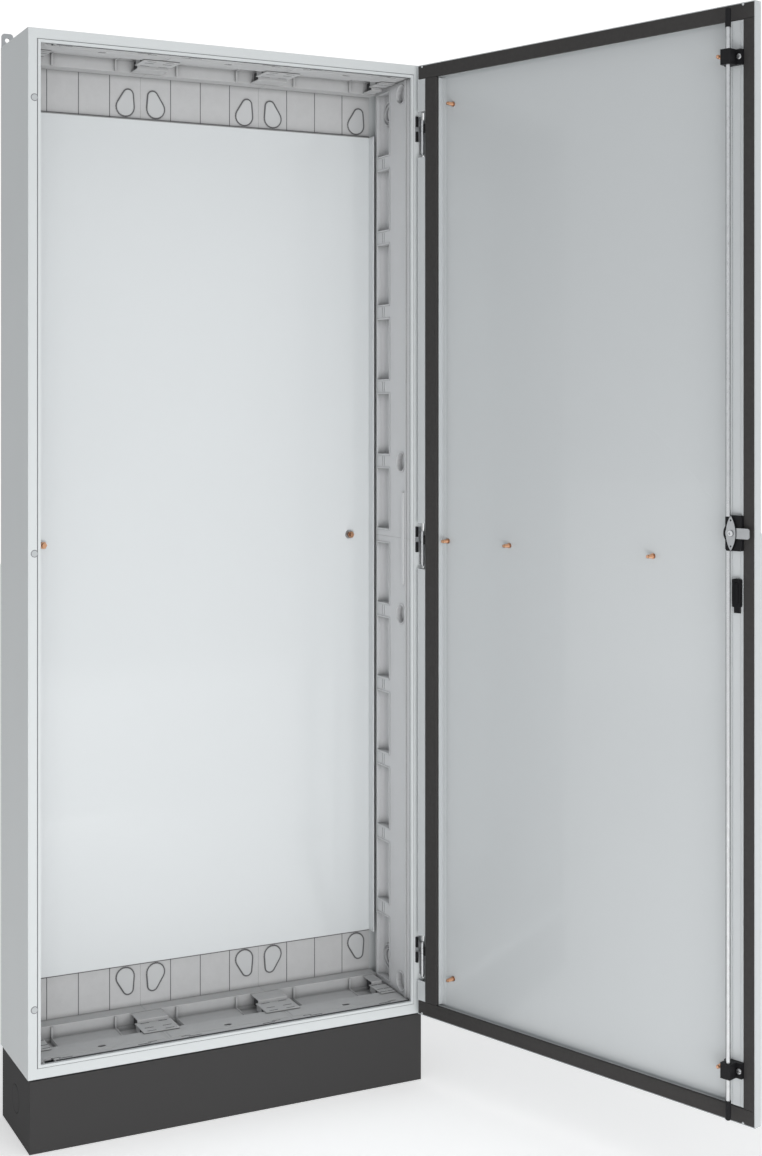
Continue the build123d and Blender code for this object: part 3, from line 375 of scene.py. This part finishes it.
class Mesh:
    """Collects vertices and faces of several closed shapes."""

    def __init__(self):
        self.verts, self.faces = [], []

    def loft(self, rings, cap=True):
        """Skin over closed rings of equal length, capped at both ends."""
        start, n = len(self.verts), len(rings[0])
        for ring in rings:
            self.verts.extend(ring)
        for k in range(len(rings) - 1):
            a, b = start + k * n, start + (k + 1) * n
            for i in range(n):
                j = (i + 1) % n
                self.faces.append((a + i, a + j, b + j, b + i))
        if cap:
            self.faces.append(tuple(start + i for i in range(n)))
            last = start + (len(rings) - 1) * n
            self.faces.append(tuple(last + i for i in reversed(range(n))))

    def bar(self, x0, x1, y0, y1, z0, z1, inset=0.25):
        """A bar with chamfered long edges, seen from the front."""
        rings = []
        for y, cut in ((y1, 0.0), (y0 + inset, 0.0), (y0, inset)):
            a, b, low, high = x0 + cut, x1 - cut, z0 + cut, z1 - cut
            rings.append([(a, y, low), (b, y, low), (b, y, high), (a, y, high)])
        self.loft(rings)

    def lathe(self, centre, axis, profile, steps=24, cap=True):
        """Turn a profile of (distance along the axis, radius) about an axis through a point."""
        axis = Vector(axis).normalized()
        side = axis.orthogonal().normalized()
        other = axis.cross(side)
        rings = []
        for along, r in profile:
            ring = []
            for k in range(steps):
                a = 2 * math.pi * k / steps
                point = Vector(centre) + axis * along + (side * math.cos(a) + other * math.sin(a)) * r
                ring.append(tuple(point))
            rings.append(ring)
        self.loft(rings, cap)


def drop_outline(x, z, toward, up, margin, steps=14):
    """Tear-drop ring around (x, z); margin widens or narrows it."""
    big, small = DROP_BIG + margin, DROP_SMALL + margin
    dx, dz = toward * DROP_LEAN, DROP_RISE
    spread = math.acos((big - small) / math.hypot(dx, dz))
    base = math.atan2(dz, dx)
    points = []
    for k in range(steps + 1):
        a = base + spread + (2 * math.pi - 2 * spread) * k / steps
        points.append((x + big * math.cos(a), z + up * big * math.sin(a)))
    for k in range(steps + 1):
        a = base - spread + 2 * spread * k / steps
        points.append((x + dx + small * math.cos(a), z + up * (dz + small * math.sin(a))))
    return points


def knock_outs():
    """Smooth faces of the tear-drop knock-outs, and a dark line round each as painted shade in the break
    groove.
    """
    top_edge, bottom_edge = BODY_TOP - BAND_H - BAND_CLEAR, BODY_BOTTOM + BAND_H + BAND_CLEAR
    for name, z_edge, up in (("top", top_edge, 1), ("bottom", bottom_edge, -1)):
        faces, shade_lines = Mesh(), Mesh()
        for field in (-1, 0, 1):
            for cell, toward in ((0, -1), (3, 1)):
                x = field * FIELD - FIELD / 2 + (cell + 0.5) * CELL
                z = z_edge + up * DROP_RISE
                rings = []
                for proud, margin in ((0, -0.9), (1.3, -0.9), (1.9, -2.2)):
                    outline = drop_outline(x, z, toward, up, margin)
                    rings.append([(px, BAND_FACE - proud, pz) for px, pz in outline])
                faces.loft(rings)
                rings = []
                for proud, margin in ((0, 1.7), (1.4, 1.6), (1.5, -0.6), (0, -0.7)):
                    outline = drop_outline(x, z, toward, up, margin)
                    rings.append([(px, BAND_FACE - proud, pz) for px, pz in outline])
                shade_lines.loft(rings, cap=False)
        piece("drop_faces_" + name, faces, DROP_FACE)
        piece("drop_break_shade_" + name, shade_lines, GROOVE_FLOOR_SHADE)


def band_groove_shade():
    """Painted shade: a dark floor in the grooves between cells, and a painted shadow line along the band's
    inner edge.
    """
    far, close = BAND_H + BAND_CLEAR, 2.2       # the band's two edges, from the body's outside
    for name, z0, z1, edge in (
        ("top", BODY_TOP - far, BODY_TOP - close, 1),
        ("bottom", BODY_BOTTOM + close, BODY_BOTTOM + far, -1),
    ):
        groove_shade_bars = Mesh()
        near = z0 + 4.0 if edge > 0 else z1 - 4.0
        for k in range(-5, 6):
            x = k * CELL
            wide = 0.35 if k % 4 == 2 else 0.75         # thinner where two bands meet
            groove_shade_bars.bar(x - wide, x + wide, BAND_FACE + 0.35, BAND_FACE + 0.95, z0 + 0.3, z1 - 0.3, 0.1)
        groove_shade_bars.bar(-374.5, 374.5, BAND_FACE - 0.55, BAND_FACE + 0.1, near - 0.5, near + 0.5, 0.15)
        piece("band_groove_shade_" + name, groove_shade_bars, GROOVE_FLOOR_SHADE)


def frame_groove_shade():
    """Dark strip laid in the groove round the frame's opening, as painted shade."""
    out = 5.75              # groove's middle line, outside the opening
    x0, x1 = FRAME_OPENING[0] - out, FRAME_OPENING[1] + out
    z0, z1 = BODY_BOTTOM + FRAME_EDGE - out, BODY_TOP - FRAME_EDGE + out
    rings = []
    for y, grow in ((-101.7, 0.7), (-102.3, 0.5), (-102.3, -0.5), (-101.7, -0.7)):
        a, b, low, high = x0 - grow, x1 + grow, z0 - grow, z1 + grow
        rings.append([(a, y, low), (b, y, low), (b, y, high), (a, y, high)])
    groove_strip = Mesh()
    groove_strip.loft(rings, cap=False)
    piece("frame_groove_shade", groove_strip, RIM_GROOVE_SHADE)


def shadow_gaps():
    """Black strips in the gaps between the entry trays and the frame, as painted shade."""
    gap_strip = Mesh()
    outer, inner = 938.0, 925.6         # from mid-height
    for up in (-1, 1):
        z0, z1 = sorted((MID_Z + up * outer, MID_Z + up * inner))
        gap_strip.bar(-344.0, 374.0, -97.2, -88.8, z0, z1, 0.4)
    piece("tray_gap_shade", gap_strip, GAP_SHADE_BLACK)


def ring_marks():
    """Dark rings at the break grooves of the ring knock-outs in the liners' end windows, as painted shade.
    """
    shade_lines = Mesh()
    for side in (-1, 1):
        for up in (-1, 1):
            centre = (side * 390.4, 27.5, MID_Z + up * 873.0)
            for r in (26.6, 18.1, 14.0):
                profile = ((0.1, r - 0.7), (0.35, r - 0.5), (0.35, r + 0.5), (0.1, r + 0.7))
                shade_lines.lathe(centre, (-side, 0, 0), profile, 40, False)
    piece("liner_ring_shade", shade_lines, GROOVE_FLOOR_SHADE)


def rib_marks():
    """Dark floor of the two grooves in each rib of the liners, as painted shade."""
    shade_marks = Mesh()
    for side in (-1, 1):
        x0, x1 = sorted((side * 376.5, side * 376.9))
        for k in (-5, -4, -3, -2, -1, 1, 2, 3, 4, 5):
            z = MID_Z + k * RIB_PITCH
            for y in (23.6, 32.6):
                shade_marks.bar(x0, x1, y, y + 1.8, z - 9.8, z + 9.8, 0.1)
    piece("liner_rib_shade", shade_marks, GROOVE_FLOOR_SHADE)


def plinth_reveal():
    """Black band in the shadow gap between the plinth and the body, all the way round, as painted shade."""
    x, y, z0, z1 = 387.0, 97.0, BODY_BOTTOM - 3.4, BODY_BOTTOM - 0.3
    rings = []
    for grow, z in ((0.0, z0), (1.2, z0 + 0.3), (1.2, z1 - 0.3), (0.0, z1)):
        a, b = x + grow, y + grow
        rings.append([(-a, -b, z), (a, -b, z), (a, b, z), (-a, b, z)])
    shade_band = Mesh()
    shade_band.loft(rings, cap=False)
    piece("plinth_reveal_shade", shade_band, GAP_SHADE_BLACK)


def plug_rings():
    """Dark ring in the rebate round each plug of the frame, as painted shade."""
    rings = Mesh()
    plug_x, plug_offset = -388.0, 824.0
    profile = ((-0.2, 5.4), (-0.2, 7.0), (0.3, 6.9), (0.35, 5.5))
    for z in (MID_Z - plug_offset, MID_Z, MID_Z + plug_offset):
        rings.lathe((plug_x, -102.4, z), (0, -1, 0), profile, 28)
    piece("frame_plug_shade_rings", rings, RIM_GROOVE_SHADE)


def tray_slot_shade():
    """Black bars in the slots, clip openings and hollows of the entry trays and their bridge covers, as
    painted shade.
    """
    ledge, plate = -926.0, -923.0        # visible faces, from mid-height
    shade_marks = Mesh()
    for flip in (1, -1):

        def mark(x0, x1, y0, y1, low, high):
            z0, z1 = sorted((MID_Z + flip * low, MID_Z + flip * high))
            shade_marks.bar(x0, x1, y0, y1, z0, z1, 0.1)

        for field in (-1, 0, 1):
            centre = field * FIELD
            for side in (-1, 1):
                for x, half, y in ((centre + side * 75, 12.6, -83.4), (centre + side * 92, 8.6, -78.4)):
                    mark(x - half, x + half, y, y + 1.6, ledge - 0.9, ledge + 0.15)
            mark(centre - 6.5, centre + 6.5, -62.3, -54.7, ledge - 1.6, ledge - 0.8)
        for x, half in ((-355.5, 16.5), (-125.0, 36.0), (125.0, 36.0), (355.5, 16.5)):
            for side in (-1, 1):
                middle, dash = x + side * half / 2, min(8.6, half * 0.42)
                for y in (-30.4, -13.4, 13.6):
                    mark(middle - dash, middle + dash, y, y + 1.6, plate - 0.9, plate + 0.15)
            left = x - half
            mark(left + 1.5, left + 2.0, -19.0, -6.0, ledge - 9.0, ledge + 0.8)
            mark(left + 5.4, left + 8.0, 24.0, 44.0, ledge - 8.0, ledge + 6.8)
    piece("tray_slot_shade", shade_marks, GAP_SHADE_BLACK)


def liner_details():
    """Black rivet-shaped plugs in the holes of the plain strips of the side liners, as painted shade of the
    open holes.
    """
    hole_plugs = Mesh()
    for side in (-1, 1):
        for rise in (-38.0, 38.0):
            hole_plugs.lathe(
                (side * 375.6, -57.5, MID_Z + rise), (-side, 0, 0),
                ((-1.6, 3.1), (0.2, 3.1), (0.5, 2.6), (0.5, 1.4), (-0.6, 1.2), (-0.6, 0.05)), 20,
            )
    piece("liner_hole_shade", hole_plugs, LOOKS["black_plastic"])


def door_point(x, y, z):
    """A point drawn with the door closed, carried to the door's rest angle."""
    angle = math.radians(DOOR_REST)
    pivot_x, pivot_y = HINGE_AXIS
    dx, dy = x - pivot_x, y - pivot_y
    return (
        pivot_x + dx * math.cos(angle) - dy * math.sin(angle),
        pivot_y + dx * math.sin(angle) + dy * math.cos(angle),
        z,
    )


def door_details():
    """Threads of the copper studs and the tips of the gasket's corner joints."""
    axis = Vector(door_point(0, 1, 0)) - Vector(door_point(0, 0, 0))
    threads = Mesh()
    corner, pitch, turns = 863, 1.2, 11
    places = [(x, MID_Z + side * corner) for x in (316, -322) for side in (1, -1)]
    places += [(x, MID_Z) for x in (330, 168, -173)]
    for x, z in places:
        profile = [(0.0, 2.8)]
        for turn in range(turns):
            profile += [(turn * pitch + 0.3, 3.5), (turn * pitch + 0.9, 2.9)]
        profile.append((13.6, 2.8))
        threads.lathe(door_point(x, -119.5, z), axis, profile, 20)
    piece("stud_threads", threads, LOOKS["copper_stud"], "door")
    tips = Mesh()
    tip_rise = 944.0
    profile = ((-1.0, 2.2), (1.0, 2.2), (1.8, 1.7), (2.2, 0.9), (2.3, 0.05))
    for x in (-374.0, 385.0):
        for z in (MID_Z + tip_rise, MID_Z - tip_rise):
            tips.lathe(door_point(x, -104.9, z), axis, profile, 18)
    piece("gasket_joint_tips", tips, LOOKS["cap_plastic"], "door")


DROP_FACE = moulded("drop_face", (0.56, 0.57, 0.575), 0.35, depth=0.00002)
# Dark and black materials for painted shade laid in grooves, rebates, slots and gaps.
GROOVE_FLOOR_SHADE = moulded("groove_floor_shade", (0.13, 0.13, 0.135), 0.7)
RIM_GROOVE_SHADE = moulded("rim_groove_shade", (0.21, 0.215, 0.225), 0.7)
GAP_SHADE_BLACK = moulded("gap_shade_black", (0.03, 0.03, 0.032), 0.7)
knock_outs()
band_groove_shade()
shadow_gaps()
plinth_reveal()
ring_marks()
rib_marks()
plug_rings()
tray_slot_shade()
frame_groove_shade()
liner_details()
door_details()
